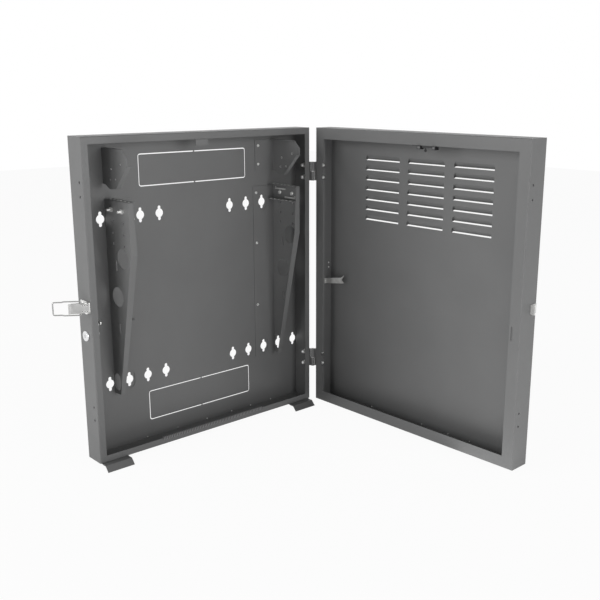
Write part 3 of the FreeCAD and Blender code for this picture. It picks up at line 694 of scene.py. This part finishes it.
def add_seam_studs():
    """Small weld studs along the lower seams of both trays."""
    seam, front_depth = 5.5 - WALL_TOP, 55.5
    stud = rivet(radius=1.7, height=1.6)
    rear = [((x, -SHEET, seam), OUTWARD) for x in (-162.5, -75, 13.6, 92.4, 155.2, 224.3)]
    piece("seam_studs_rear", [stud], rear, ZINC, "root")
    front = [(on_door(a, front_depth, seam), OPEN @ Y_AXIS) for a in (160, 331.8, 416, 481)]
    piece("seam_studs_front", [stud], front, GALVANISED, "door")


def add_strike_rivets():
    """Two painted rivets that hold the catch's strike."""
    face, height = TRAY_RIM + 2 * SHEET, 357
    piece("strike_rivets", [rivet(radius=2.4, height=1.0)],
          [((x, face, height), INWARD) for x in (-24, -6)], COAT, "root")


def add_door_details():
    """Hook rivets, the two pins above the hook and the catch's fixing screws."""
    hook_z, pin_depth, catch_z = -39, 46.6, 346
    tab = [(on_door(2 * SHEET, b, hook_z), OPEN @ -X_AXIS) for b in (27, 34)]
    piece("hook_rivets", [rivet(radius=1.8, height=0.8)], tab, ZINC, "door")
    pins = [(on_door(SHEET, pin_depth, z), OPEN @ -X_AXIS) for z in (9.3, -3.4)]
    piece("hook_wall_pins", [rivet(radius=2.2, height=1.6)], pins, ZINC, "door")
    screws = [(on_door(a, 2 * SHEET, catch_z), OPEN @ -Y_AXIS) for a in (325, 394)]
    piece("catch_screws", pan_head(radius=2.6, height=1.4), screws, BLACK,
          "door")


# ---- studio, in metres ---------------------------------------------------------------------
WORLD_LEVEL = 0.22
FLOOR_WHITE_SHARE = 0.95
FLOOR_SIZE = 14.0
FLOOR_TONES = (0.86, 0.86, 0.86), (0.88, 0.88, 0.88)
LAMP_AIM = (0.1, -0.2, 0.0)
LAMPS = (("front_softbox", (0.6, -4.2, 0.8), (2.4, 2.0), 72),
         ("left_strip", (-4.0, -1.2, 0.6), (0.7, 2.2), 24),
         ("side_softbox", (-3.6, 0.8, 1.2), (2.0, 2.0), 72))
BOUNCES = (("floor_bounce", -0.1, -1.0, 4.5), ("left_bounce", -1.0, -0.5, 5.0))
BOUNCE_SIZE = (0.9, 0.9)
BOUNCE_LIFT = 0.004


def white_for_viewer(tree, output, lit_socket, share):
    """Show plain white to camera, glossy and transmission rays over a lit surface.

    share is how much of that white they see; all other rays see the lit surface alone.
    """
    path = tree.nodes.new("ShaderNodeLightPath")
    seen = path.outputs["Is Camera Ray"]
    for other in ("Is Glossy Ray", "Is Transmission Ray"):
        add = tree.nodes.new("ShaderNodeMath")
        add.operation = "MAXIMUM"
        tree.links.new(seen, add.inputs[0])
        tree.links.new(path.outputs[other], add.inputs[1])
        seen = add.outputs["Value"]
    scale = tree.nodes.new("ShaderNodeMath")
    scale.operation = "MULTIPLY"
    scale.inputs[1].default_value = share
    tree.links.new(seen, scale.inputs[0])
    mix = tree.nodes.new("ShaderNodeMixShader")
    kind = "ShaderNodeBackground" if output.bl_idname == "ShaderNodeOutputWorld" \
        else "ShaderNodeEmission"
    glow = tree.nodes.new(kind)
    glow.inputs["Color"].default_value = WHITE
    glow.inputs["Strength"].default_value = 1.0
    tree.links.new(scale.outputs["Value"], mix.inputs["Fac"])
    tree.links.new(lit_socket, mix.inputs[1])
    tree.links.new(glow.outputs[0], mix.inputs[2])
    tree.links.new(mix.outputs["Shader"], output.inputs["Surface"])


def make_world():
    """Even world light, white where it is seen."""
    world = bpy.data.worlds.new("studio")
    bpy.context.scene.world = world
    world.use_nodes = True
    tree = world.node_tree
    tree.nodes.clear()
    output = tree.nodes.new("ShaderNodeOutputWorld")
    lit = tree.nodes.new("ShaderNodeBackground")
    lit.inputs["Color"].default_value = WHITE
    lit.inputs["Strength"].default_value = WORLD_LEVEL
    white_for_viewer(tree, output, lit.outputs["Background"], 1.0)


def make_floor():
    """Pale floor at the height of the feet."""
    low = cad_bounds[0][2]
    half = FLOOR_SIZE / 2
    outline = [(-half, -half, low), (half, -half, low), (half, half, low), (-half, half, low)]
    mesh = bpy.data.meshes.new("studio_floor")
    mesh.from_pydata(outline, [], [(0, 1, 2, 3)])
    floor = bpy.data.objects.new("studio_floor", mesh)
    bpy.context.scene.collection.objects.link(floor)
    material, tree, output = new_material("floor_paint")
    shader = tree.nodes.new("ShaderNodeBsdfDiffuse")
    coordinates = tree.nodes.new("ShaderNodeTexCoord")
    tone = ramp(tree, noise(tree, coordinates, scale=3, detail=3), *FLOOR_TONES)
    tree.links.new(tone, shader.inputs["Color"])
    white_for_viewer(tree, output, shader.outputs["BSDF"], FLOOR_WHITE_SHARE)
    mesh.materials.append(material)


def area_light(name, place, target, size, power):
    """Rectangular lamp at a place, turned to a target."""
    data = bpy.data.lights.new(name, "AREA")
    data.shape = "RECTANGLE"
    data.size, data.size_y = size
    data.energy = power
    lamp = bpy.data.objects.new(name, data)
    bpy.context.scene.collection.objects.link(lamp)
    lamp.location = place
    lamp.rotation_euler = (Vector(target) - Vector(place)).to_track_quat("-Z", "Y").to_euler()
    return lamp


def make_lights():
    """Softboxes in front and on the left, and unseen lamps on the floor for its bounce."""
    for name, place, size, power in LAMPS:
        area_light(name, place, LAMP_AIM, size, power)
    lamp_height = cad_bounds[0][2] + BOUNCE_LIFT
    for name, x, y, power in BOUNCES:
        bounce = area_light(name, (x, y, lamp_height), (x, y, 1.0), BOUNCE_SIZE, power)
        bounce.visible_camera = False
        bounce.visible_glossy = False


# ---- camera --------------------------------------------------------------------------------
CAMERA_PLACE = (-1.1675, -1.7149, 0.4690)
CAMERA_RIGHT = (0.73788, -0.67493, 0.00213)
CAMERA_UP = (0.16425, 0.18263, 0.96936)
CAMERA_FORWARD = (0.65464, 0.71492, -0.24562)
CAMERA_LENS = 51.30
CAMERA_SENSOR = 36.0
CAMERA_SHIFT = (-0.0306, 0.0045)
CAMERA_NEAREST = 0.02


def make_camera():
    """Camera fitted to the photograph's view."""
    data = bpy.data.cameras.new("photo_camera")
    data.sensor_width = CAMERA_SENSOR
    data.lens = CAMERA_LENS
    data.shift_x, data.shift_y = CAMERA_SHIFT
    data.clip_start = CAMERA_NEAREST
    camera = bpy.data.objects.new("photo_camera", data)
    bpy.context.scene.collection.objects.link(camera)
    right, up, back = Vector(CAMERA_RIGHT), Vector(CAMERA_UP), -Vector(CAMERA_FORWARD)
    turn = Matrix((right, up, back)).transposed().to_4x4()
    camera.matrix_world = Matrix.Translation(CAMERA_PLACE) @ turn
    bpy.context.scene.camera = camera


dress_cad_nodes()
add_hinge_hardware()
add_rail_hardware()
add_bracket_screws()
add_support_eyelets()
add_foot_screws()
add_bail()
add_latch_rivets()
add_lock_barrel()
add_edging()
add_seam_studs()
add_strike_rivets()
add_door_details()
make_world()
make_floor()
make_lights()
make_camera()
bpy.context.scene.view_settings.view_transform = "Standard"
